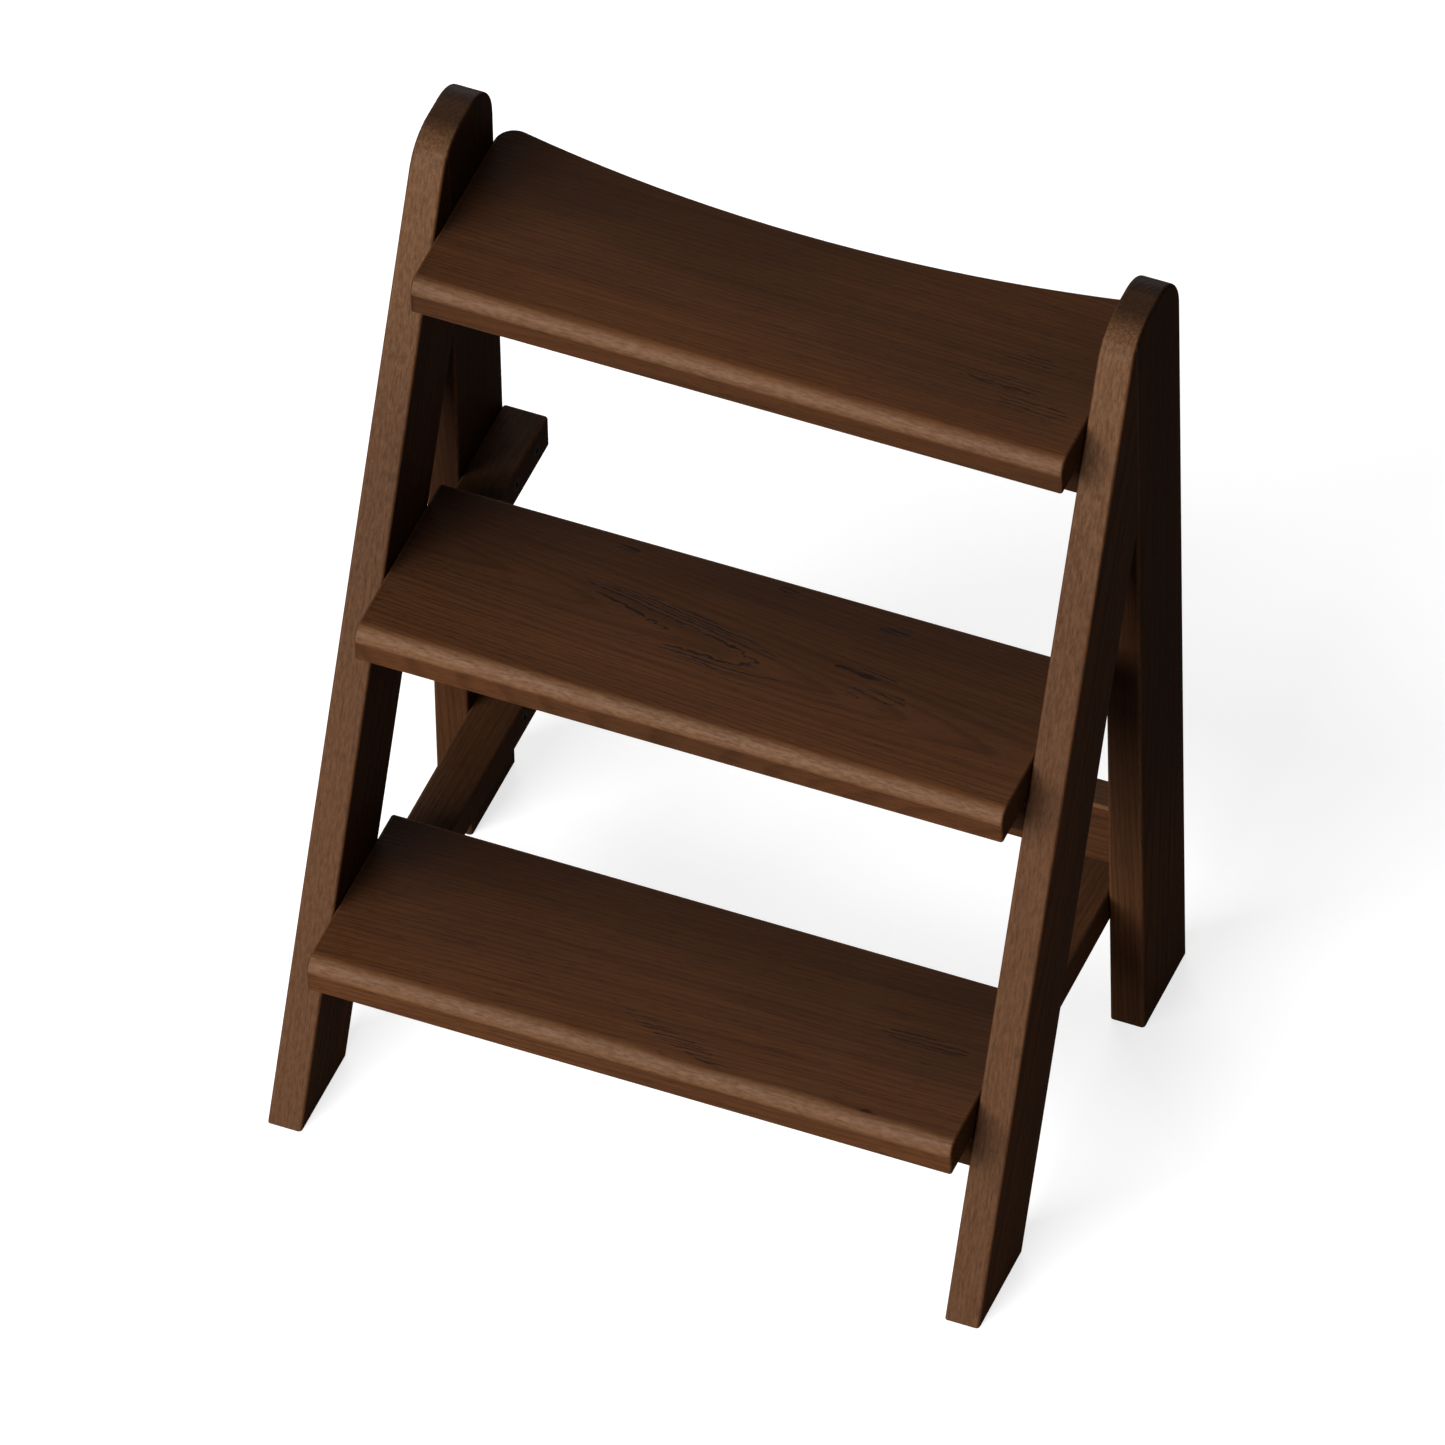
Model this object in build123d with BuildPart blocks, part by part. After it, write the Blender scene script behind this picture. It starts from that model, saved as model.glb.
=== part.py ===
from build123d import *
import math
import os

os.makedirs("parts", exist_ok=True)

# Spa steps: three treads between two side frames. Each side frame is a raked stringer glued and
# dowelled to an upright rear leg. The treads stand on cleats screwed to the inside of the frames.
# X runs across the steps, +Y towards the tub, +Z up. The origin is on the floor, in the middle.

# Side frames (mm)
overall_width = 518.0  # over the outer faces of the side frames
board_thickness = 25.0  # planed thickness of the side frames
head_above_tread = 61.0  # flat top of the side frames, over the top tread
foot_depth = 78.8  # stringer's foot, measured along the floor
leg_setback = 297.5  # from the stringer's toe to the leg's front edge, where its lean ends
leg_depth = 77.0  # front to back
head_radius = 35.0  # the two rounded corners of the head
arris = 2.5  # rounding of the long edges

# Treads
first_rise = 150.0  # floor to the top of the bottom tread
tread_rise = 225.0  # tread to tread
tread_thickness = 28.0
tread_depth = 148.5  # bottom and middle treads, front to back
top_tread_depth = 163.3  # the top tread, at its ends, before its rear corners are rounded
hollow_radius = 1100.0  # the top tread's rear edge follows the round tub
bottom_overhang = 49.5  # how far each tread reaches in front of the stringer, at its top face
middle_overhang = 53.0
top_overhang = 43.3
nosing_radius = 11.5  # upper front edge
top_corner_radius = 14.0  # the top tread's two rear corners, seen from above
tread_arris = 2.0  # rounding round the ends and along the rear edge
tread_gap = 0.5  # between a tread or rail end and the frame beside it

# Cleats and rear rail
cleat_width = 33.0  # across the steps
cleat_height = 28.0
cleat_setback = 12.0  # behind the stringer's front edge, at the cleat's underside
rail_height = 54.0
rail_thickness = 25.0

# Fixings
screw_radius = 2.5
screw_head_radius = 5.0
screw_tip = 7.0  # length of the pointed end
recess_radius = 2.2  # six-sided driver recess
recess_depth = 1.6
shank_clearance = 0.25  # round the screw in the cleat it passes through
pilot_clearance = 0.05  # round the screw in the board it bites into
board_bite = 18.0  # how far a screw goes into a frame or a tread
rail_bite = 35.0  # how far a screw goes up into the rear rail
end_distance = 25.0  # from a tread's rear edge to its rear screws
screw_spread = 0.225  # from the middle of the board behind a cleat to its screws, of its width
dowel_radius = 5.0
dowel_length = 50.0
dowel_clearance = 0.05  # glue line round a dowel
dowel_spare = 1.0  # depth left past each end of a dowel
dowel_share = 0.265  # from each end of the joint under the top cleat to a dowel, of its length

# Worked out from the sizes above
inner_x = overall_width / 2 - board_thickness
tread_length = 2 * (inner_x - tread_gap)
tread_tops = [first_rise + level * tread_rise for level in range(3)]
head_height = tread_tops[2] + head_above_tread
slope = leg_setback / head_height
overhangs = [bottom_overhang, middle_overhang, top_overhang]
depths = [tread_depth, tread_depth, top_tread_depth]
corner_radii = [arris, arris, top_corner_radius]
half_chord = tread_length / 2
sharp_setback = math.sqrt(hollow_radius**2 - half_chord**2)  # hollow's centre to the sharp corners
round_setback = math.sqrt(  # hollow's centre to the middles of the rounded corners
    (hollow_radius + top_corner_radius) ** 2 - (half_chord - top_corner_radius) ** 2
)
corner_loss = round_setback - top_corner_radius - sharp_setback
overall_depth = tread_tops[2] * slope - top_overhang + top_tread_depth - corner_loss
toe_y = -overall_depth / 2
seam_y = toe_y + leg_setback
leg_middle_y = seam_y + leg_depth / 2
leg_rear_y = seam_y + leg_depth
joint_height = (leg_setback - foot_depth) / slope
levels = ["bottom", "middle", "top"]
sides = {"left": -1, "right": 1}


def stringer_front(height):
    """Depth of the stringer's front edge at a height."""
    return toe_y + height * slope


def tread_front(level):
    """Depth of a tread's front edge."""
    return stringer_front(tread_tops[level]) - overhangs[level]


def tread_rear(level):
    """Depth of a tread's rear edge, at its ends."""
    return tread_front(level) + depths[level]


def cleat_top(level):
    """Height of the cleats' upper faces, where the tread rests."""
    return tread_tops[level] - tread_thickness


def cleat_bottom(level):
    """Height of the cleats' undersides."""
    return cleat_top(level) - cleat_height


def stringer_screw_places(level):
    """Middle of the stringer behind a cleat, and the two screw depths either side of it."""
    height = cleat_top(level) - cleat_height / 2
    front = stringer_front(height)
    rear = min(front + foot_depth, seam_y)
    middle = (front + rear) / 2
    spread = (rear - front) * screw_spread
    return middle, [middle - spread, middle + spread]


def cleat_screw_planes(side, level):
    """Where the screws through a cleat into its frame start. Z points out of the screw's head."""
    height = cleat_top(level) - cleat_height / 2
    spread = leg_depth * screw_spread
    depths_into_leg = [leg_middle_y - spread, leg_middle_y + spread]
    face_x = side * (inner_x - cleat_width)
    places = stringer_screw_places(level)[1] + depths_into_leg
    return [Plane(origin=(face_x, y, height), z_dir=(-side, 0, 0)) for y in places]


def upward_plane(side, level, y):
    """Where a screw that goes up through a cleat starts."""
    x = side * (inner_x - cleat_width / 2)
    return Plane(origin=(x, y, cleat_bottom(level)), z_dir=(0, 0, -1))


def tread_screw_planes(side, level):
    """Where the screws up through a cleat into its tread start."""
    front = stringer_screw_places(level)[0]
    rear = min(tread_rear(level) - end_distance, leg_middle_y)
    return [upward_plane(side, level, y) for y in (front, rear)]


def rail_screw_plane(side):
    """Where the screw up through a bottom cleat into the rear rail starts."""
    return upward_plane(side, 0, leg_middle_y)


def dowel_heights():
    """The two dowels sit between the foot of the glued joint and the top cleat."""
    margin = (cleat_bottom(2) - joint_height) * dowel_share
    return [joint_height + margin, cleat_bottom(2) - margin]


def side_frame(side):
    """A whole side frame, glued up and rounded over, before it is parted at its seam."""
    middle_x = side * (inner_x + board_thickness / 2)
    with BuildPart() as frame:
        with BuildSketch(Plane.YZ.offset(middle_x)) as outline:
            with BuildLine():
                Polyline(
                    (toe_y, 0),
                    (leg_rear_y, 0),
                    (leg_rear_y, head_height),
                    (seam_y, head_height),
                    close=True,
                )
            make_face()
            fillet(outline.vertices().group_by(Axis.Y)[-1], radius=head_radius)
            with BuildLine():
                Polyline(
                    (toe_y + foot_depth, 0),
                    (seam_y, 0),
                    (seam_y, joint_height),
                    close=True,
                )
            make_face(mode=Mode.SUBTRACT)
        extrude(amount=board_thickness / 2, both=True)
        floor_edges = frame.edges().group_by(Axis.Z)[0]
        face_edges = frame.faces().filter_by(Axis.X).edges()
        fillet(face_edges - floor_edges, radius=arris)
    return frame.part


def wood_screw(length):
    """A countersunk wood screw, head up, with its head's face at the origin."""
    with BuildPart() as screw:
        with BuildSketch(Plane.XZ):
            with BuildLine():
                Polyline(
                    (0, 0),
                    (screw_head_radius, 0),
                    (screw_radius, screw_radius - screw_head_radius),
                    (screw_radius, screw_tip - length),
                    (0, -length),
                    close=True,
                )
            make_face()
        revolve(axis=Axis.Z)
        with BuildSketch():
            RegularPolygon(radius=recess_radius, side_count=6)
        extrude(amount=-recess_depth, mode=Mode.SUBTRACT)
    return screw.part


def save(part, name):
    """Label a finished piece and write it under its own name."""
    part.label = name
    export_step(part, f"parts/{name}.step")


seam = Plane.XZ.offset(-seam_y)
cleat_screw_length = cleat_width + board_bite
tread_screw_length = cleat_height + board_bite
rail_screw_length = cleat_height + rail_bite
pilot_radius = screw_radius + pilot_clearance
dowel_hole_radius = dowel_radius + dowel_clearance
dowel_hole_depth = dowel_length / 2 + dowel_spare

# Stringers and rear legs, parted from the same rounded frame so that their faces run through
for side_name, side in sides.items():
    board_x = side * (inner_x + board_thickness / 2)
    dowel_points = [(board_x, seam_y, height) for height in dowel_heights()]
    frame_screws = [plane for level in range(3) for plane in cleat_screw_planes(side, level)]

    with BuildPart() as stringer:
        add(side_frame(side))
        split(bisect_by=seam, keep=Keep.TOP)
        with Locations(*[Plane(origin=point, z_dir=(0, 1, 0)) for point in dowel_points]):
            Hole(radius=dowel_hole_radius, depth=dowel_hole_depth)
        with Locations(*frame_screws):
            Hole(radius=pilot_radius, depth=cleat_screw_length)
    save(stringer.part, f"{side_name}_stringer")

    with BuildPart() as rear_leg:
        add(side_frame(side))
        split(bisect_by=seam, keep=Keep.BOTTOM)
        with Locations(*[Plane(origin=point, z_dir=(0, -1, 0)) for point in dowel_points]):
            Hole(radius=dowel_hole_radius, depth=dowel_hole_depth)
        with Locations(*frame_screws):
            Hole(radius=pilot_radius, depth=cleat_screw_length)
    save(rear_leg.part, f"{side_name}_rear_leg")

    with BuildPart() as frame_dowels:
        with Locations(*[Plane(origin=point, z_dir=(0, 1, 0)) for point in dowel_points]):
            Cylinder(radius=dowel_radius, height=dowel_length)
        chamfer(frame_dowels.edges().filter_by(GeomType.CIRCLE), length=dowel_spare)
    save(frame_dowels.part, f"{side_name}_frame_dowels")

# Treads: a rounded nosing in front, and a hollow rear edge on the top one
for level, level_name in enumerate(levels):
    middle_y = (tread_front(level) + tread_rear(level)) / 2
    screw_planes = [plane for side in sides.values() for plane in tread_screw_planes(side, level)]

    with BuildPart() as tread:
        with BuildSketch(Plane.XY.offset(cleat_top(level))) as outline:
            with Locations((0, middle_y)):
                Rectangle(tread_length, depths[level])
            if level_name == "top":
                with Locations((0, tread_rear(level) + sharp_setback)):
                    Circle(hollow_radius, mode=Mode.SUBTRACT)
            fillet(outline.vertices().group_by(Axis.Y)[-1], radius=corner_radii[level])
        extrude(amount=tread_thickness)
        front_edges = tread.faces().sort_by(Axis.Y)[0].edges().filter_by(Axis.X)
        fillet(front_edges.sort_by(Axis.Z)[-1], radius=nosing_radius)
        fillet(tread.edges().filter_by(Axis.X).group_by(Axis.Y)[0], radius=arris)
        broad_edges = tread.faces().filter_by(Axis.Z).edges()
        front_edges = broad_edges.filter_by(Axis.X).sort_by(Axis.Y)[:2]
        fillet(broad_edges - front_edges, radius=tread_arris)
        with Locations(*screw_planes):
            Hole(radius=pilot_radius, depth=tread_screw_length)
    save(tread.part, f"{level_name}_tread")

    with BuildPart() as tread_screws:
        with Locations(*screw_planes):
            add(wood_screw(tread_screw_length))
    save(tread_screws.part, f"{level_name}_tread_screws")

# Cleats and the screws that hold them to the frames
for side_name, side in sides.items():
    for level, level_name in enumerate(levels):
        front_y = stringer_front(cleat_bottom(level)) + cleat_setback
        cleat_middle = (side * (inner_x - cleat_width / 2), (front_y + leg_rear_y) / 2)
        frame_screws = cleat_screw_planes(side, level)
        upward_screws = tread_screw_planes(side, level)
        if level_name == "bottom":
            upward_screws = upward_screws + [rail_screw_plane(side)]

        with BuildPart() as cleat:
            with BuildSketch(Plane.XY.offset(cleat_bottom(level))):
                with Locations(cleat_middle):
                    Rectangle(cleat_width, leg_rear_y - front_y)
            extrude(amount=cleat_height)
            fillet(cleat.edges(), radius=arris)
            with Locations(*frame_screws):
                CounterSinkHole(
                    radius=screw_radius + shank_clearance,
                    counter_sink_radius=screw_head_radius,
                    depth=cleat_width,
                    counter_sink_angle=90,
                )
            with Locations(*upward_screws):
                CounterSinkHole(
                    radius=screw_radius + shank_clearance,
                    counter_sink_radius=screw_head_radius,
                    depth=cleat_height,
                    counter_sink_angle=90,
                )
        save(cleat.part, f"{side_name}_{level_name}_cleat")

        with BuildPart() as cleat_screws:
            with Locations(*frame_screws):
                add(wood_screw(cleat_screw_length))
        save(cleat_screws.part, f"{side_name}_{level_name}_cleat_screws")

# Rear rail: stands on the bottom cleats, between the legs
rail_screws_planes = [rail_screw_plane(side) for side in sides.values()]
with BuildPart() as rear_rail:
    with BuildSketch(Plane.XY.offset(cleat_top(0))):
        with Locations((0, leg_middle_y)):
            Rectangle(tread_length, rail_thickness)
    extrude(amount=rail_height)
    fillet(rear_rail.edges().filter_by(Axis.X), radius=arris)
    fillet(rear_rail.faces().filter_by(Axis.X).edges(), radius=tread_arris)
    with Locations(*rail_screws_planes):
        Hole(radius=pilot_radius, depth=rail_screw_length)
save(rear_rail.part, "rear_rail")

with BuildPart() as rail_screws:
    with Locations(*rail_screws_planes):
        add(wood_screw(rail_screw_length))
save(rail_screws.part, "rail_screws")
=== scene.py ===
import bpy
import math
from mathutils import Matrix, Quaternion, Vector


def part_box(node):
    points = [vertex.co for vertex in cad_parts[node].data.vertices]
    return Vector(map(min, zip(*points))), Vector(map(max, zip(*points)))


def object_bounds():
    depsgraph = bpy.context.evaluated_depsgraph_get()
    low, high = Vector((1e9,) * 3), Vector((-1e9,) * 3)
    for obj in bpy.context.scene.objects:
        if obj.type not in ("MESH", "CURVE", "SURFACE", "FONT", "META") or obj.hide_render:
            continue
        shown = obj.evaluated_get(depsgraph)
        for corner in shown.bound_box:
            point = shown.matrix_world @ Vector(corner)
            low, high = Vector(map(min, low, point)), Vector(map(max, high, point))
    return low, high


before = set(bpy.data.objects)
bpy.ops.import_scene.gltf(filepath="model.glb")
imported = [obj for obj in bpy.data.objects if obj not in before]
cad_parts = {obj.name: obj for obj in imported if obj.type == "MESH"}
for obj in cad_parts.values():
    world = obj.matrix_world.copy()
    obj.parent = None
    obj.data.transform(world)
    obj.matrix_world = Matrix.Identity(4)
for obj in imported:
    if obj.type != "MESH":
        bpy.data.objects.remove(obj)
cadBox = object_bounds()
print("frame loaded:", len(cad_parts), "pieces")


def newMaterial(name):
    material = bpy.data.materials.new(name)
    material.use_nodes = True
    material.node_tree.nodes.clear()
    return material


def addNode(tree, kind, **settings):
    node = tree.nodes.new(kind)
    for key, value in settings.items():
        setattr(node, key, value)
    return node


def feed(tree, socket, value):
    # a value may be another node's output, a number or a tuple; None leaves the socket as it is
    if isinstance(value, bpy.types.NodeSocket):
        tree.links.new(value, socket)
    elif value is not None:
        socket.default_value = value


def calc(tree, operation, first, second=None, third=None, clamp=False):
    node = addNode(tree, "ShaderNodeMath", operation=operation, use_clamp=clamp)
    for socket, value in zip(node.inputs, (first, second, third)):
        feed(tree, socket, value)
    return node.outputs[0]


def vectorCalc(tree, operation, first, second):
    node = addNode(tree, "ShaderNodeVectorMath", operation=operation)
    feed(tree, node.inputs[0], first)
    feed(tree, node.inputs[1], second)
    return node.outputs["Value" if operation == "DOT_PRODUCT" else "Vector"]


def mixColour(tree, factor, first, second):
    # a mix node's colour sockets come after those for numbers and vectors
    node = addNode(tree, "ShaderNodeMix", data_type="RGBA", clamp_factor=True)
    feed(tree, node.inputs[0], factor)
    feed(tree, node.inputs[6], first)
    feed(tree, node.inputs[7], second)
    return node.outputs[2]


def remap(tree, value, fromLow, fromHigh, toLow=0.0, toHigh=1.0, smooth=True):
    node = addNode(tree, "ShaderNodeMapRange", interpolation_type="SMOOTHSTEP" if smooth else "LINEAR")
    feed(tree, node.inputs[0], value)
    for index, number in enumerate((fromLow, fromHigh, toLow, toHigh), 1):
        feed(tree, node.inputs[index], number)
    return node.outputs[0]


def noise(tree, place, scale, shift, detail=2.0, roughness=0.5, colour=False):
    # scale is how many features there are per metre each way, and shift moves the pattern
    scaled = vectorCalc(tree, "MULTIPLY", place, scale)
    node = addNode(tree, "ShaderNodeTexNoise", noise_dimensions="3D")
    feed(tree, node.inputs["Vector"], vectorCalc(tree, "ADD", scaled, shift))
    feed(tree, node.inputs["Scale"], 1.0)
    feed(tree, node.inputs["Detail"], detail)
    feed(tree, node.inputs["Roughness"], roughness)
    return node.outputs["Color" if colour else "Fac"]


def split(tree, vector):
    node = addNode(tree, "ShaderNodeSeparateXYZ")
    feed(tree, node.inputs[0], vector)
    return node.outputs


def coordinates(tree, kind):
    return addNode(tree, "ShaderNodeTexCoord").outputs[kind]


def principled(tree, values):
    shader = addNode(tree, "ShaderNodeBsdfPrincipled")
    for name, value in values.items():
        feed(tree, shader.inputs[name], value)
    return shader


def finishMaterial(tree, shader, height, look):
    # fine relief on the surface, then the output; the relief's normal comes back
    bump = addNode(tree, "ShaderNodeBump")
    feed(tree, bump.inputs["Strength"], look["bump"])
    feed(tree, bump.inputs["Distance"], look["bumpHeight"])
    feed(tree, bump.inputs["Height"], height)
    feed(tree, shader.inputs["Normal"], bump.outputs[0])
    output = addNode(tree, "ShaderNodeOutputMaterial")
    feed(tree, output.inputs["Surface"], shader.outputs[0])
    return bump.outputs[0]


def unevenRoughness(tree, pattern, look):
    # smoother where the pattern is high
    low, high = look["roughSpan"]
    rough, smooth = look["roughness"] + look["roughnessSpread"], look["roughness"] - look["roughnessSpread"]
    return remap(tree, pattern, low, high, rough, smooth)


def fromScreen(red, green, blue):
    # screen values of 0 to 255 to the linear ones that a shader takes
    return tuple(((c / 255 + 0.055) / 1.055) ** 2.4 for c in (red, green, blue)) + (1.0,)


woodLook = {
    "stain": fromScreen(59, 37, 23),         # where the grain is plain
    "stainWarm": fromScreen(76, 46, 26),     # thinner stain, redder
    # the dark stain below is also the colour that the painted shade mixes in
    "stainDarkAndShade": fromScreen(27, 16, 11),     # late wood, pores, checks and end grain
    "wornEdge": fromScreen(96, 63, 41),      # rubbed arrises
    # the rounding colour below is wear and a painted highlight
    "wornAndHighlitRounding": fromScreen(96, 67, 44),  # roundings that feet and hands polish
    "ringWidth": 0.0036,       # metres, on average
    "ringStray": 2.4,          # how many rings they stray from even ones
    "leastSteep": 0.16,        # rings that graze a face more flatly than this get wider checks
    "ripple": 0.0018,          # metres that the fibres ripple sideways
    "ringDepth": 0.30,         # how dark each layer makes the stain
    "fibreDepth": 0.22,
    "streakDepth": 0.22,
    "poreDepth": 0.45,
    "endDepth": 0.40,
    "checkStray": 0.9,         # how far the checks leave the rings, in spaces between checks
    "checkThinnest": 0.0001,   # metres
    "edgeWidth": 0.0030,       # metres
    "edgeWear": 0.60,
    "leastRubbed": 0.45,       # what is left of the wear where it is patchy
    # where a rounding is rubbed most is also where its painted highlight is fullest
    "fullyRubbedAndLit": 0.60,       # how much a rounding leans forward where it is rubbed most
    "roughness": 0.55,
    "roughnessSpread": 0.1,
    "roughSpan": (0.3, 0.7),
    "coatRoughness": 0.5,
    "matt": 0.022,             # coat on every face
    "flatPolish": 0.04,        # more of it on level faces
    "bump": 0.5,
    "bumpHeight": 0.0004,      # metres
    # each pattern's share of that height, sunk where it is less than nothing
    "relief": {"pore": -0.5, "fibre": 0.7, "late": 0.35, "checks": -2.0},
    # how many features there are per metre along, across and through the board
    "scale": {
        "wander": (2.5, 9.0, 9.0),
        "ripple": (26.0, 60.0, 60.0),
        "ringStray": (110.0, 0.0, 0.0),  # outwards from the tree's middle
        "streak": (2.5, 95.0, 95.0),
        "fibre": (9.0, 620.0, 620.0),
        "pore": (70.0, 1500.0, 1500.0),
        "blotch": (4.0, 16.0, 16.0),
        "checkRags": (85.0, 330.0, 330.0),
        "checkDashes": (32.0, 210.0, 210.0),
        "rub": (140.0, 520.0, 520.0),
        "rubWander": (14.0, 0.0, 0.0),
    },
    # where each pattern starts to show and where it shows fully, of 0 to 1
    "span": {
        "lateRise": (0.15, 0.55),  # these two are shares of a ring
        "lateFall": (0.60, 0.72),
        "streak": (0.42, 0.75),
        "fibre": (0.4, 0.72),
        "pore": (0.60, 0.70),
        "blotch": (0.25, 0.8),
        "checkDashes": (0.22, 0.38),
        "rub": (0.34, 0.66),
    },
    # the same for how squarely a face looks one way, where 1 is squarely
    "facing": {
        "along": (0.75, 0.95),
        "up": (0.6, 0.95),
        "forward": (0.85, 0.98),
        "upOnRounding": (-0.02, 0.22),
        "notSideways": (0.75, 0.3),
    },
}


def boardPlace(tree, board):
    # a point's distance along, across and through its board, from the board's middle
    along, across = Vector(board["along"]), Vector(board["across"])
    fromMiddle = vectorCalc(tree, "SUBTRACT", coordinates(tree, "Object"), tuple(board["middle"]))
    place = addNode(tree, "ShaderNodeCombineXYZ")
    for index, axis in enumerate((along, across, along.cross(across))):
        feed(tree, place.inputs[index], vectorCalc(tree, "DOT_PRODUCT", fromMiddle, tuple(axis)))
    return place.outputs[0]


def boardNoise(tree, place, board, pattern, weights=(7.31, 3.17, 5.53), **settings):
    # the board's seed moves the pattern, so that no two boards look the same
    shift = tuple(board["seed"] * weight for weight in weights)
    return noise(tree, place, woodLook["scale"][pattern], shift, **settings)


def bendGrain(tree, place, board):
    # the fibres wander slowly over the whole board and ripple a little
    for pattern, reach in (("wander", board["wander"]), ("ripple", woodLook["ripple"])):
        bend = boardNoise(tree, place, board, pattern, colour=True)
        bend = vectorCalc(tree, "SUBTRACT", bend, (0.5, 0.5, 0.5))
        place = vectorCalc(tree, "ADD", place, vectorCalc(tree, "MULTIPLY", bend, (0.0, reach, reach)))
    return place


def growthRings(tree, bent, board):
    # rings round the tree's middle, which leans away along the board; no two are as wide
    lengthwise, crosswise, inward = split(tree, bent)
    pith, drift = board["pith"], board["drift"]
    sideways = calc(tree, "SUBTRACT", crosswise, calc(tree, "MULTIPLY_ADD", lengthwise, drift[0], pith[0]))
    deep = calc(tree, "SUBTRACT", inward, calc(tree, "MULTIPLY_ADD", lengthwise, drift[1], pith[1]))
    square = calc(tree, "MULTIPLY_ADD", deep, deep, calc(tree, "MULTIPLY", sideways, sideways))
    radius = calc(tree, "SQRT", square)
    outwards = addNode(tree, "ShaderNodeCombineXYZ")
    feed(tree, outwards.inputs[0], radius)
    stray = boardNoise(tree, outwards.outputs[0], board, "ringStray", detail=1.0)
    evenCount = calc(tree, "DIVIDE", radius, woodLook["ringWidth"])
    count = calc(tree, "MULTIPLY_ADD", stray, woodLook["ringStray"], evenCount)
    # one where a ring meets the face squarely, less where it only grazes the face
    steepness = calc(tree, "DIVIDE", calc(tree, "ABSOLUTE", sideways), radius)
    return count, calc(tree, "MAXIMUM", steepness, woodLook["leastSteep"])


def checkPatches(tree, place, board):
    # oval patches where the face has dried out and opened: middle, reach and lean of each
    lengthwise, crosswise = split(tree, place)[:2]
    patches = None
    for middle, reach, lean in board["checks"]:
        alongPatch = calc(tree, "SUBTRACT", lengthwise, middle[0])
        line = calc(tree, "MULTIPLY_ADD", alongPatch, lean, middle[1])
        acrossPatch = calc(tree, "DIVIDE", calc(tree, "SUBTRACT", crosswise, line), reach[1])
        alongPatch = calc(tree, "DIVIDE", alongPatch, reach[0])
        square = calc(tree, "MULTIPLY_ADD", alongPatch, alongPatch,
                      calc(tree, "MULTIPLY", acrossPatch, acrossPatch))
        patch = remap(tree, square, 1.0, 0.25)  # full from half way to the patch's edge inwards
        patches = patch if patches is None else calc(tree, "MAXIMUM", patches, patch)
    return patches


def dryingChecks(tree, bent, count, steepness, board):
    # thin dark lines that follow the rings through a patch, ragged and broken into dashes
    look = woodLook
    pitch = board["checkPitch"]
    ragged = boardNoise(tree, bent, board, "checkRags", roughness=0.6)
    finer = calc(tree, "MULTIPLY_ADD", count, 1 / pitch, calc(tree, "MULTIPLY", ragged, look["checkStray"]))
    away = calc(tree, "ABSOLUTE", calc(tree, "SUBTRACT", calc(tree, "FRACT", finer), 0.5))
    away = calc(tree, "DIVIDE", calc(tree, "MULTIPLY", away, look["ringWidth"] * pitch), steepness)
    dashes = boardNoise(tree, bent, board, "checkDashes", weights=(3.17, 5.53, 7.31), roughness=0.55)
    dashes = calc(tree, "MULTIPLY", dashes, checkPatches(tree, bent, board))
    dashes = remap(tree, dashes, *look["span"]["checkDashes"])
    thick = calc(tree, "MULTIPLY_ADD", dashes, board["checkWidth"], look["checkThinnest"])
    line = remap(tree, away, thick, calc(tree, "MULTIPLY", thick, 0.3))
    return calc(tree, "MULTIPLY", dashes, line)


def grainMasks(tree, place, board):
    # what the grain draws on the board's faces
    span = woodLook["span"]
    bent = bendGrain(tree, place, board)
    count, steepness = growthRings(tree, bent, board)
    ring = calc(tree, "FRACT", count)
    rise = remap(tree, ring, *span["lateRise"])
    fall = remap(tree, ring, *span["lateFall"], 1.0, 0.0)
    streak = boardNoise(tree, bent, board, "streak", detail=3.0, roughness=0.6)
    pore = boardNoise(tree, bent, board, "pore", detail=1.0)
    grain = {
        "late": calc(tree, "MULTIPLY", rise, fall),
        "streak": remap(tree, streak, *span["streak"]),
        "fibre": boardNoise(tree, bent, board, "fibre", detail=3.0, roughness=0.65),
        "pore": remap(tree, pore, *span["pore"]),
        "blotch": boardNoise(tree, place, board, "blotch", detail=3.0),
    }
    if "checks" in board:
        grain["checks"] = dryingChecks(tree, bent, count, steepness, board)
    return grain


def facing(tree):
    # how far the surface looks to the right, to the back and up
    return split(tree, coordinates(tree, "Normal"))


def endGrain(tree, board):
    # one where the face looks along the fibres
    square = vectorCalc(tree, "DOT_PRODUCT", coordinates(tree, "Normal"), tuple(board["along"]))
    return remap(tree, calc(tree, "ABSOLUTE", square), *woodLook["facing"]["along"])


def paintedTreadShade(tree, place, board):
    # painted shade: the stain is darkened at the back, in the corner by the left frame where that frame's
    # shadow falls, and on the tread's upright front
    paintedShade = board["paintedShade"]
    lengthwise, crosswise = split(tree, place)[:2]
    halfLength, halfDepth = board["half"][:2]
    back = remap(tree, crosswise, -halfDepth, halfDepth, 0.0, paintedShade["back"])
    fromEnd = calc(tree, "ADD", lengthwise, halfLength)
    behindFrame = calc(tree, "ADD", crosswise, halfDepth - paintedShade["overhang"])
    behindFrame = calc(tree, "MAXIMUM", behindFrame, 0.002)  # never nothing, as it divides
    corner = remap(tree, calc(tree, "DIVIDE", fromEnd, behindFrame), 0.0, paintedShade["spread"],
                   paintedShade["corner"], 0.0, smooth=False)
    forward = calc(tree, "MULTIPLY", facing(tree)[1], -1.0)
    upright = remap(tree, forward, *woodLook["facing"]["forward"], 0.0, paintedShade["front"])
    return calc(tree, "ADD", calc(tree, "ADD", back, corner), upright, clamp=True)


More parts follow.
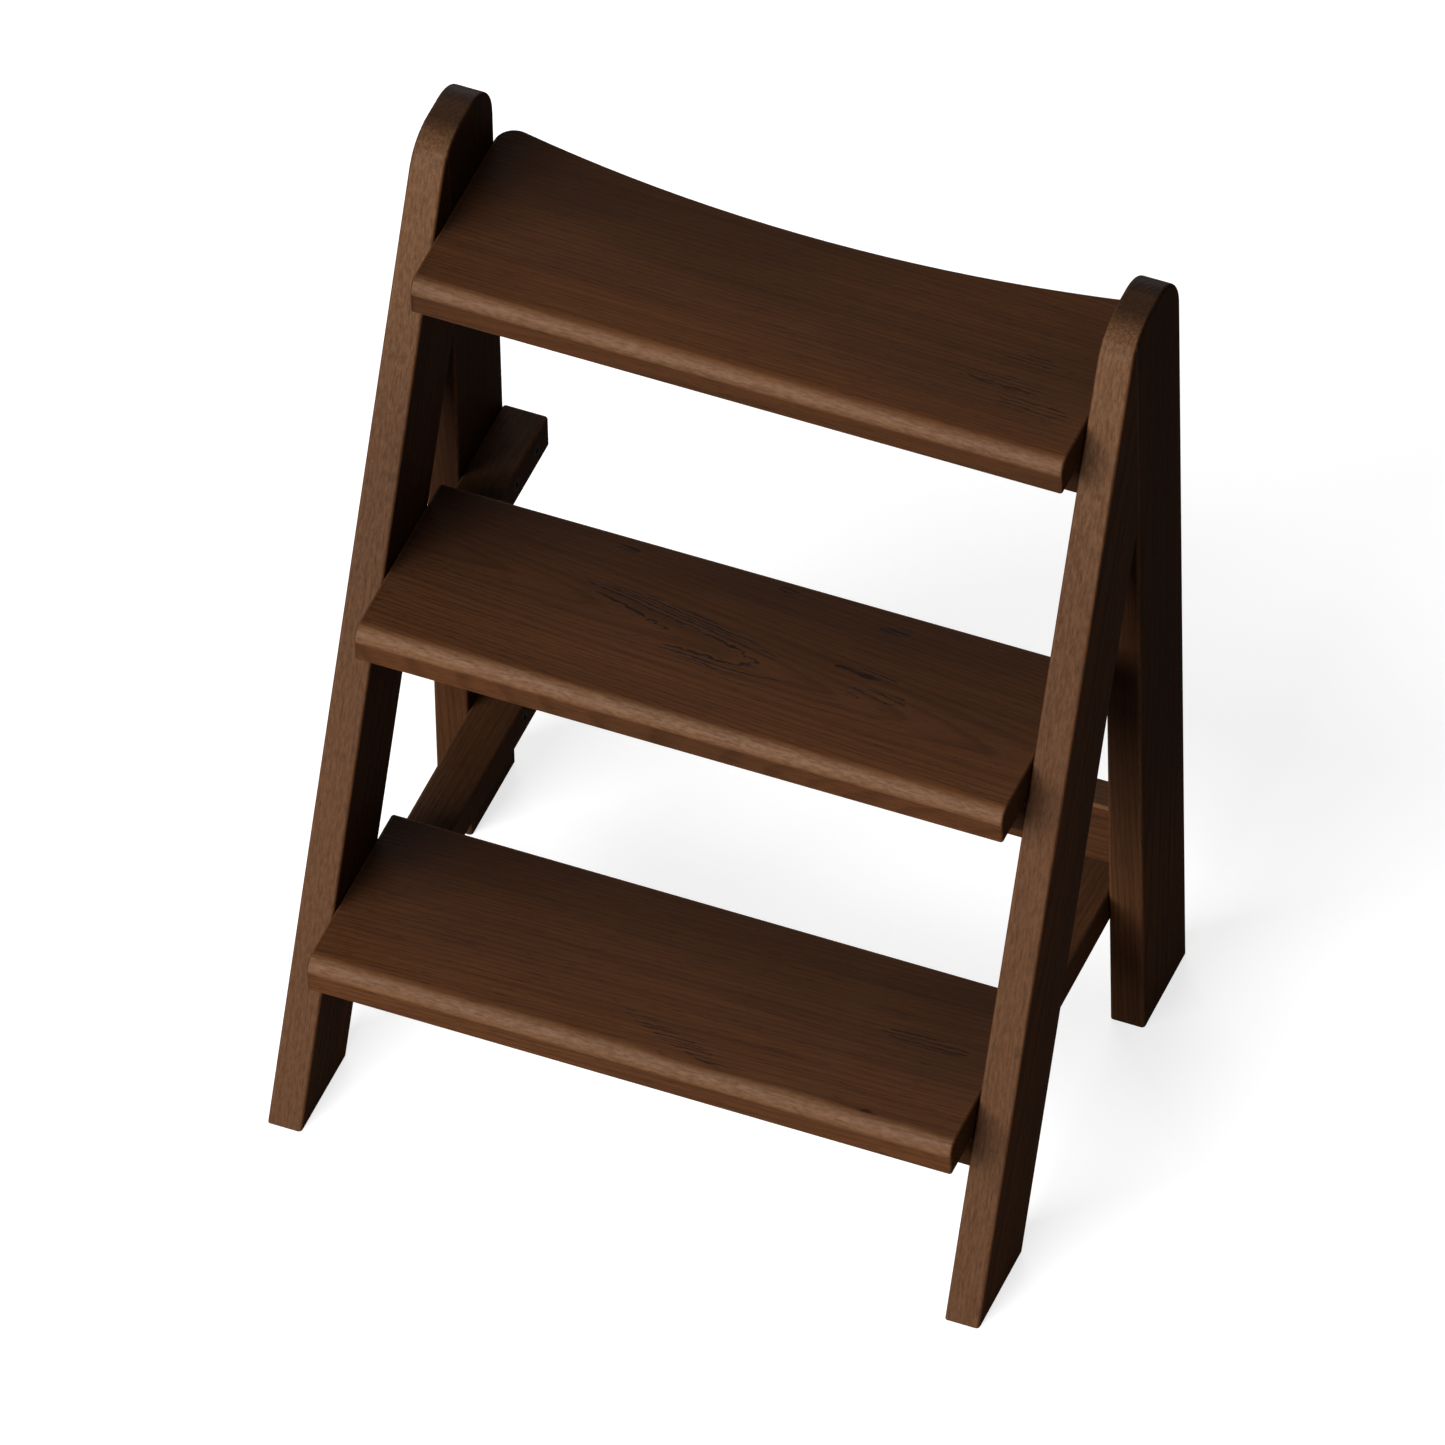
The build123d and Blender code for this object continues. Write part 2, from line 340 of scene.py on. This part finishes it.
def paintedFrameShade(tree, board):
    # painted shade on the frames, darker high up, behind the treads
    paintedShade = board["paintedShade"]
    height = split(tree, coordinates(tree, "Object"))[2]
    return remap(tree, height, paintedShade["low"], paintedShade["high"], 0.0, paintedShade["most"])


def stainColour(tree, place, board, grain):
    # the stain, and then whatever darkens it: the grain, end grain, checks and painted shade
    look = woodLook
    warmth = remap(tree, grain["blotch"], *look["span"]["blotch"])
    if "warmFront" in board:
        nearFront = remap(tree, split(tree, place)[1], 0.0, -board["half"][1])
        warmth = calc(tree, "MULTIPLY_ADD", nearFront, board["warmFront"], warmth, clamp=True)
    toned = [tuple(channel * board["tone"] for channel in look[key][:3]) + (1.0,)
             for key in ("stain", "stainWarm")]
    colour = mixColour(tree, warmth, *toned)
    # painted shade: on the treads at the back, in the left corner and on the front, and on the frames
    # higher up
    shade = paintedTreadShade(tree, place, board) if "corner" in board["paintedShade"] else paintedFrameShade(tree, board)
    layers = [
        (grain["streak"], look["streakDepth"]),
        (grain["late"], look["ringDepth"] * board["figure"]),
        (remap(tree, grain["fibre"], *look["span"]["fibre"]), look["fibreDepth"]),
        (grain["pore"], look["poreDepth"]),
        (endGrain(tree, board), look["endDepth"]),
        (shade, 1.0),
    ]
    if "checks" in board:
        layers.append((grain["checks"], board["checkDepth"]))
    for mask, depth in layers:
        colour = mixColour(tree, calc(tree, "MULTIPLY", mask, depth), colour, look["stainDarkAndShade"])
    return colour


def arrisMask(tree, place, board):
    # one close to two of the board's faces at once; a half size of nothing leaves that way out
    near = []
    for distance, limit in zip(split(tree, place), board["half"]):
        start = limit - woodLook["edgeWidth"]
        near.append(remap(tree, calc(tree, "ABSOLUTE", distance), start, limit) if limit else None)
    nearEnd, nearSide, nearFace = near
    arris = calc(tree, "MULTIPLY", nearSide, nearFace)
    if nearEnd is not None:
        arris = calc(tree, "MAXIMUM", arris, calc(tree, "MULTIPLY", nearEnd, nearFace))
    return arris


def rubbedAndHighlitRoundings(tree, place, board):
    # faces that lean between upright at the front and level on top, where wear and a painted highlight
    # lighten the stain; feet don't rub evenly along them
    look = woodLook
    sideways, backward, upward = facing(tree)
    uneven = calc(tree, "SUBTRACT", boardNoise(tree, place, board, "rubWander"), 0.5)
    forward = calc(tree, "SUBTRACT", calc(tree, "MULTIPLY", uneven, board["rubWander"]), backward)
    rising = remap(tree, forward, board["rubAndLightFrom"], look["fullyRubbedAndLit"])
    falling = remap(tree, upward, *look["facing"]["upOnRounding"])
    inPlane = remap(tree, calc(tree, "ABSOLUTE", sideways), *look["facing"]["notSideways"])
    return calc(tree, "MULTIPLY", calc(tree, "MULTIPLY", rising, falling), inPlane)


def wearAndPaintedHighlight(tree, place, board, grain, colour):
    # lighter stain on the arrises, and on the roundings that are rubbed most, where the lighter colour is
    # also a painted highlight from the front light
    look = woodLook
    rub = boardNoise(tree, place, board, "rub", detail=4.0, roughness=0.7)
    patchy = remap(tree, rub, *look["span"]["rub"], look["leastRubbed"], 1.0)
    arris = calc(tree, "MULTIPLY", arrisMask(tree, place, board), patchy)
    colour = mixColour(tree, calc(tree, "MULTIPLY", arris, look["edgeWear"]), colour, look["wornEdge"])
    rubbedAndHighlit = calc(tree, "MULTIPLY", rubbedAndHighlitRoundings(tree, place, board), patchy)
    if "checks" in board:
        rubbedAndHighlit = calc(tree, "MULTIPLY", rubbedAndHighlit, calc(tree, "SUBTRACT", 1.0, grain["checks"]))
    wearAndHighlight = board["wearAndHighlight"]
    if "wornAndHighlitHead" in board:
        head = board["wornAndHighlitHead"]
        wearAndHighlight = remap(tree, split(tree, place)[0], head["from"], head["to"], wearAndHighlight, head["wearAndHighlight"])
    # the roundings' lighter colour: wear and a painted highlight
    colour = mixColour(tree, calc(tree, "MULTIPLY", rubbedAndHighlit, wearAndHighlight), colour, look["wornAndHighlitRounding"])
    return colour, rubbedAndHighlit


def grainRelief(tree, grain):
    height = 0.0
    for pattern, rise in woodLook["relief"].items():
        if pattern in grain:
            height = calc(tree, "MULTIPLY_ADD", grain[pattern], rise, height)
    return height


def stainedWood(name, board):
    look = woodLook
    material = newMaterial(name)
    tree = material.node_tree
    place = boardPlace(tree, board)
    grain = grainMasks(tree, place, board)
    colour = stainColour(tree, place, board, grain)
    colour, rubbedAndHighlit = wearAndPaintedHighlight(tree, place, board, grain, colour)
    level = remap(tree, facing(tree)[2], *look["facing"]["up"])
    polish = calc(tree, "MULTIPLY_ADD", level, look["flatPolish"], look["matt"])
    polish = calc(tree, "MULTIPLY_ADD", rubbedAndHighlit, board["polish"], polish, clamp=True)
    shader = principled(tree, {
        "Base Color": colour,
        "Roughness": unevenRoughness(tree, grain["fibre"], look),
        "Specular IOR Level": 0.0,  # only the coat shines
        "Coat Weight": polish,
        "Coat Roughness": look["coatRoughness"],
    })
    relief = finishMaterial(tree, shader, grainRelief(tree, grain), look)
    feed(tree, shader.inputs["Coat Normal"], relief)
    return material


def dress(nodeName, material):
    # the CAD piece keeps its mesh and takes a detailed material
    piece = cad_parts[nodeName]
    piece.data.materials.clear()
    piece.data.materials.append(material)


def dressBoard(nodeName, board):
    dress(nodeName, stainedWood("stained_" + nodeName, board))


def middleAndHalf(nodeName):
    low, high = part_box(nodeName)
    return (low + high) / 2, (high - low) / 2


acrossX, alongY, upZ = (1.0, 0.0, 0.0), (0.0, 1.0, 0.0), (0.0, 0.0, 1.0)

# pith: where the tree's middle is, across and through the board, in metres from the board's middle.
# drift: how it leans as it goes along the board. wander: metres that the fibres stray sideways.
# tone: how light the stain is. figure: how strongly the rings show. wear and polish: on the roundings,
# where the lighter colour is wear and a painted highlight, and polish is a coat.
# warmFront: how much redder the front half is. The painted shade entry says how much shade is painted into
# the stain; overhang is how far the tread stands out in front of the frame, and spread is the slope that
# the corner's painted shadow fans out to.
# checks: middle, reach and lean of each dried patch. checkPitch: their spacing, in rings.
treadBoards = {
    "bottom_tread": {
        "seed": 1.0, "pith": (-0.16, -0.10), "drift": (0.03, 0.02), "wander": 0.013,
        "tone": 1.16, "wearAndHighlight": 0.79, "polish": 0.22, "warmFront": 0.5, "figure": 0.75,
        "rubAndLightFrom": 0.10, "rubWander": 0.7,
        "paintedShade": {"back": 0.47, "corner": 0.36, "front": 0.10, "overhang": 0.0495, "spread": 1.9},
        "checkDepth": 0.72, "checkWidth": 0.0008, "checkPitch": 0.7,
        "checks": [((0.026, -0.049), (0.056, 0.008), -0.32), ((0.066, -0.062), (0.018, 0.003), -0.1),
                   ((0.168, -0.062), (0.012, 0.003), 0.0), ((0.182, 0.010), (0.044, 0.007), 0.0)],
    },
    "middle_tread": {
        "seed": 2.0, "pith": (-0.0016, -0.0084), "drift": (-0.10, -0.045), "wander": 0.004,
        "tone": 1.14, "wearAndHighlight": 0.9, "polish": 0.22, "warmFront": 0.5, "figure": 0.9,
        "rubAndLightFrom": 0.10, "rubWander": 0.2,
        "paintedShade": {"back": 0.54, "corner": 0.36, "front": 0.28, "overhang": 0.053, "spread": 1.9},
        "checkDepth": 0.88, "checkWidth": 0.0011, "checkPitch": 0.6,
        "checks": [((-0.030, 0.012), (0.100, 0.017), -0.14), ((0.010, -0.011), (0.062, 0.011), 0.06),
                   ((0.112, -0.004), (0.032, 0.008), 0.10), ((0.106, 0.057), (0.018, 0.005), 0.15),
                   ((0.100, 0.014), (0.030, 0.005), 0.0), ((-0.091, 0.063), (0.010, 0.004), 0.0),
                   ((0.024, 0.066), (0.010, 0.004), 0.0)],
    },
    "top_tread": {
        "seed": 3.0, "pith": (0.26, -0.13), "drift": (-0.02, 0.02), "wander": 0.005,
        "tone": 1.23, "wearAndHighlight": 0.73, "polish": 0.22, "warmFront": 0.3, "figure": 0.6,
        "rubAndLightFrom": 0.10, "rubWander": 0.2,
        "paintedShade": {"back": 0.33, "corner": 0.46, "front": 0.47, "overhang": 0.0433, "spread": 1.9},
        "checkDepth": 0.62, "checkWidth": 0.0006, "checkPitch": 0.8,
        "checks": [((0.172, -0.022), (0.040, 0.009), -0.05), ((0.196, -0.038), (0.036, 0.009), 0.0),
                   ((0.180, 0.004), (0.030, 0.006), 0.0)],
    },
}


def dressTreads():
    for nodeName, look in treadBoards.items():
        middle, half = middleAndHalf(nodeName)
        dressBoard(nodeName, dict(look, middle=middle, along=acrossX, across=alongY, half=tuple(half)))


# what the boards of both side frames and the rail have in common
sideLook = {
    "drift": (0.02, 0.02),
    "wander": 0.010,
    "figure": 1.0,
    "wearAndHighlight": 0.46,
    # the head's roundings get more of the wear and painted highlight
    "wornAndHighlitHead": {"from": 0.10, "to": 0.32, "wearAndHighlight": 0.85},  # metres along the board from its middle
    "polish": 0.10,
    # from this lean on, the stringers' front faces also take the lighter colour, a painted sheen as well as
    # wear
    "rubAndLightFrom": -0.35,
    "rubWander": 0.2,
    # this entry paints shade on the frames, darker higher up
    "paintedShade": {"low": 0.10, "high": 0.55, "most": 0.30},  # low and high are heights
}

sideBoards = {
    "left": {"seed": 4.0, "pith": (0.05, 0.10), "tone": 0.88},
    "right": {"seed": 6.0, "pith": (-0.04, -0.11), "tone": 0.94},
    "footDepth": 0.0788,  # the stringer's foot, measured along the floor
    # this entry paints shade on the legs and cleats, darker higher up
    "paintedShadeBehind": {"low": 0.10, "high": 0.26, "most": 0.60},  # of the legs and cleats
    "cleatPith": (0.05, 0.03),
}


def dressStringer(sideName, look):
    # the board leans back from the foot to the leg's top
    low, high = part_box(sideName + "_stringer")
    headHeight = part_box(sideName + "_rear_leg")[1].z
    rake = math.atan((high.y - low.y) / headHeight)
    height = high.z / 2
    depth = sideBoards["footDepth"]
    middle = Vector(((low.x + high.x) / 2, low.y + depth / 2 + height * math.tan(rake), height))
    board = dict(look, middle=middle, along=(0.0, math.sin(rake), math.cos(rake)),
                 across=(0.0, math.cos(rake), -math.sin(rake)),
                 half=(0, depth * math.cos(rake) / 2, (high.x - low.x) / 2))
    dressBoard(sideName + "_stringer", board)


def dressLeg(sideName, look):
    nodeName = sideName + "_rear_leg"
    middle, half = middleAndHalf(nodeName)
    board = dict(look, middle=middle, along=upZ, across=alongY, half=(0, half.y, half.x),
                 seed=look["seed"] + 1, paintedShade=sideBoards["paintedShadeBehind"])
    dressBoard(nodeName, board)


def dressCleats(sideName, look):
    for step, levelName in enumerate(("bottom", "middle", "top")):
        nodeName = f"{sideName}_{levelName}_cleat"
        middle, half = middleAndHalf(nodeName)
        board = dict(look, middle=middle, along=alongY, across=acrossX, half=(half.y, half.x, half.z),
                     seed=look["seed"] + 10 + step, pith=sideBoards["cleatPith"],
                     paintedShade=sideBoards["paintedShadeBehind"])
        dressBoard(nodeName, board)


def dressSide(sideName):
    look = dict(sideLook, **sideBoards[sideName])
    dressStringer(sideName, look)
    dressLeg(sideName, look)
    dressCleats(sideName, look)


railBoard = dict(sideLook, seed=30.0, pith=(0.05, 0.10), tone=0.88)


def dressRail():
    middle, half = middleAndHalf("rear_rail")
    board = dict(railBoard, middle=middle, along=acrossX, across=upZ, half=(half.x, half.z, half.y))
    dressBoard("rear_rail", board)


dressTreads()
dressSide("left")
dressSide("right")
dressRail()
print("wood stained")


screwLook = {
    "colour": fromScreen(30, 26, 23),
    "worn": fromScreen(58, 50, 44),
    "scale": (900.0, 900.0, 900.0),
    "wornSpan": (0.5, 0.75),  # where the noise starts to show the worn colour and where it shows fully
    "roughness": 0.5,
    "roughnessSpread": 0.1,
    "roughSpan": (0.3, 0.7),
    "shine": 0.03,
    "coatRoughness": 0.4,
    "bump": 0.2,
    "bumpHeight": 0.0002,
}


def blackScrews():
    # phosphated steel, a little brighter where the driver has rubbed it
    look = screwLook
    material = newMaterial("black_screws")
    tree = material.node_tree
    grime = noise(tree, coordinates(tree, "Object"), look["scale"], (0.0, 0.0, 0.0), detail=3.0)
    shader = principled(tree, {
        "Base Color": mixColour(tree, remap(tree, grime, *look["wornSpan"]), look["colour"], look["worn"]),
        "Roughness": unevenRoughness(tree, grime, look),
        "Specular IOR Level": 0.0,  # only the coat shines
        "Coat Weight": look["shine"],
        "Coat Roughness": look["coatRoughness"],
    })
    finishMaterial(tree, shader, grime, look)
    return material


dowelLook = {
    "pale": fromScreen(214, 178, 134),
    "fleck": fromScreen(176, 128, 88),
    "fleckScale": (1800.0, 260.0, 1800.0),
    "fleckSpan": (0.58, 0.68),
    "fleckDepth": 0.6,
    "tintScale": (300.0, 25.0, 300.0),
    "tintSpan": (0.3, 0.7),
    "tintDepth": 0.3,
    "roughness": 0.7,
    "bump": 0.3,
    "bumpHeight": 0.0002,
}


def beechDowels():
    # raw beech with its short brown flecks along the dowel
    look = dowelLook
    material = newMaterial("raw_beech")
    tree = material.node_tree
    place = coordinates(tree, "Object")
    fleck = noise(tree, place, look["fleckScale"], (2.0, 5.0, 1.0), detail=1.0)
    tint = noise(tree, place, look["tintScale"], (1.0, 2.0, 3.0))
    brown = calc(tree, "MULTIPLY", remap(tree, tint, *look["tintSpan"]), look["tintDepth"])
    brown = calc(tree, "MULTIPLY_ADD", remap(tree, fleck, *look["fleckSpan"]), look["fleckDepth"], brown,
                 clamp=True)
    shader = principled(tree, {
        "Base Color": mixColour(tree, brown, look["pale"], look["fleck"]),
        "Roughness": look["roughness"],
    })
    finishMaterial(tree, shader, brown, look)
    return material


screwMaterial, dowelMaterial = blackScrews(), beechDowels()
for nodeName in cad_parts:
    if nodeName.endswith("screws"):
        dress(nodeName, screwMaterial)
    elif nodeName.endswith("dowels"):
        dress(nodeName, dowelMaterial)
print("screws and dowels finished")


floorLook = {"halfSize": 30.0, "colour": 0.45, "lift": 0.72}  # lift is added white


def seenByEye(tree):
    # one for the camera and for reflections, nothing for diffuse light
    path = addNode(tree, "ShaderNodeLightPath")
    either = calc(tree, "MAXIMUM", path.outputs["Is Camera Ray"], path.outputs["Is Glossy Ray"])
    return calc(tree, "MAXIMUM", either, path.outputs["Is Transmission Ray"])


def paleFloor():
    # matt grey that keeps the shadow, lifted towards white for the camera and reflections only
    material = newMaterial("pale_floor")
    tree = material.node_tree
    matt = addNode(tree, "ShaderNodeBsdfDiffuse")
    shade = floorLook["colour"]
    feed(tree, matt.inputs["Color"], (shade, shade, shade, 1.0))
    glow = addNode(tree, "ShaderNodeEmission")
    feed(tree, glow.inputs["Color"], (1.0, 1.0, 1.0, 1.0))
    feed(tree, glow.inputs["Strength"], calc(tree, "MULTIPLY", seenByEye(tree), floorLook["lift"]))
    both = addNode(tree, "ShaderNodeAddShader")
    feed(tree, both.inputs[0], matt.outputs[0])
    feed(tree, both.inputs[1], glow.outputs[0])
    output = addNode(tree, "ShaderNodeOutputMaterial")
    feed(tree, output.inputs["Surface"], both.outputs[0])
    return material


def layFloor():
    size = floorLook["halfSize"]
    mesh = bpy.data.meshes.new("floor")
    corners = [(-size, -size, 0), (size, -size, 0), (size, size, 0), (-size, size, 0)]
    mesh.from_pydata(corners, [], [(0, 1, 2, 3)])
    mesh.materials.append(paleFloor())
    floor = bpy.data.objects.new("floor", mesh)
    bpy.context.scene.collection.objects.link(floor)


# strengths, where 1 is white; between bandLow and bandHigh, up the sky, the white band fades out
worldLook = {"fill": 0.12, "backdrop": 1.0, "ceiling": 0.12, "bandLow": 0.06, "bandHigh": 0.2}


def lightWorld():
    # a white band round the horizon that the camera and reflections see, over a dim fill
    look = worldLook
    world = bpy.data.worlds.new("studio")
    bpy.context.scene.world = world
    world.use_nodes = True
    tree = world.node_tree
    tree.nodes.clear()
    upward = split(tree, coordinates(tree, "Generated"))[2]
    band = remap(tree, upward, look["bandLow"], look["bandHigh"], look["backdrop"], look["ceiling"])
    aboveFill = calc(tree, "SUBTRACT", band, look["fill"])
    background = addNode(tree, "ShaderNodeBackground")
    feed(tree, background.inputs["Color"], (1.0, 1.0, 1.0, 1.0))
    feed(tree, background.inputs["Strength"],
         calc(tree, "MULTIPLY_ADD", seenByEye(tree), aboveFill, look["fill"]))
    output = addNode(tree, "ShaderNodeOutputWorld")
    feed(tree, output.inputs["Surface"], background.outputs[0])


# angles in degrees, sizes and distances in metres; a white card by the steps that faces
# one lamp alone shows about that lamp's level, where 1 is white
lampLook = {
    "key": {"azimuth": -22, "elevation": 26, "distance": 8.0, "size": (7.0, 4.5), "level": 2.1},
    "backFill": {"azimuth": 205, "elevation": 7, "distance": 4.0, "size": (2.5, 1.5), "level": 0.75},
}


def aimedFrom(target, azimuth, elevation, distance):
    # azimuth 0 is in front of the steps, and grows towards +X
    turn, rise = math.radians(azimuth), math.radians(elevation)
    back = Vector((math.sin(turn) * math.cos(rise), -math.cos(turn) * math.cos(rise), math.sin(rise)))
    return target + back * distance, (-back).to_track_quat("-Z", "Y")


def placeAndTurn(holder, place, turn):
    bpy.context.scene.collection.objects.link(holder)
    holder.location = place
    holder.rotation_mode = "QUATERNION"
    holder.rotation_quaternion = turn


def hangLamps(target):
    for name, look in lampLook.items():
        lamp = bpy.data.lights.new(name, "AREA")
        lamp.shape = "RECTANGLE"
        lamp.size, lamp.size_y = look["size"]
        lamp.energy = look["level"] * math.pi ** 2 * look["distance"] ** 2
        place, turn = aimedFrom(target, look["azimuth"], look["elevation"], look["distance"])
        placeAndTurn(bpy.data.objects.new(name, lamp), place, turn)


cameraLook = {
    "target": (0.0, -0.00114, 0.3305),
    "azimuth": 23.547,
    "elevation": 45.967,
    "distance": 18.6795,
    "roll": -1.5176,
    "lens": 697.0,
    "lower": 0.0203,  # metres that it then aims below the target
}


def setCamera():
    look = cameraLook
    target = Vector(look["target"])
    place, turn = aimedFrom(target, look["azimuth"], look["elevation"], look["distance"])
    down = turn @ Vector((0.0, -1.0, 0.0))
    aim = target + down * look["lower"] - place
    roll = Quaternion((0.0, 0.0, 1.0), math.radians(look["roll"]))
    data = bpy.data.cameras.new("camera")
    data.sensor_width = 36.0
    data.lens = look["lens"]
    data.clip_start, data.clip_end = 0.1, 100.0
    camera = bpy.data.objects.new("camera", data)
    placeAndTurn(camera, place, aim.to_track_quat("-Z", "Y") @ roll)
    bpy.context.scene.camera = camera


layFloor()
lightWorld()
hangLamps(Vector((0.0, 0.0, (cadBox[0].z + cadBox[1].z) / 2)))
setCamera()
bpy.context.scene.view_settings.view_transform = "Standard"
print("studio ready")
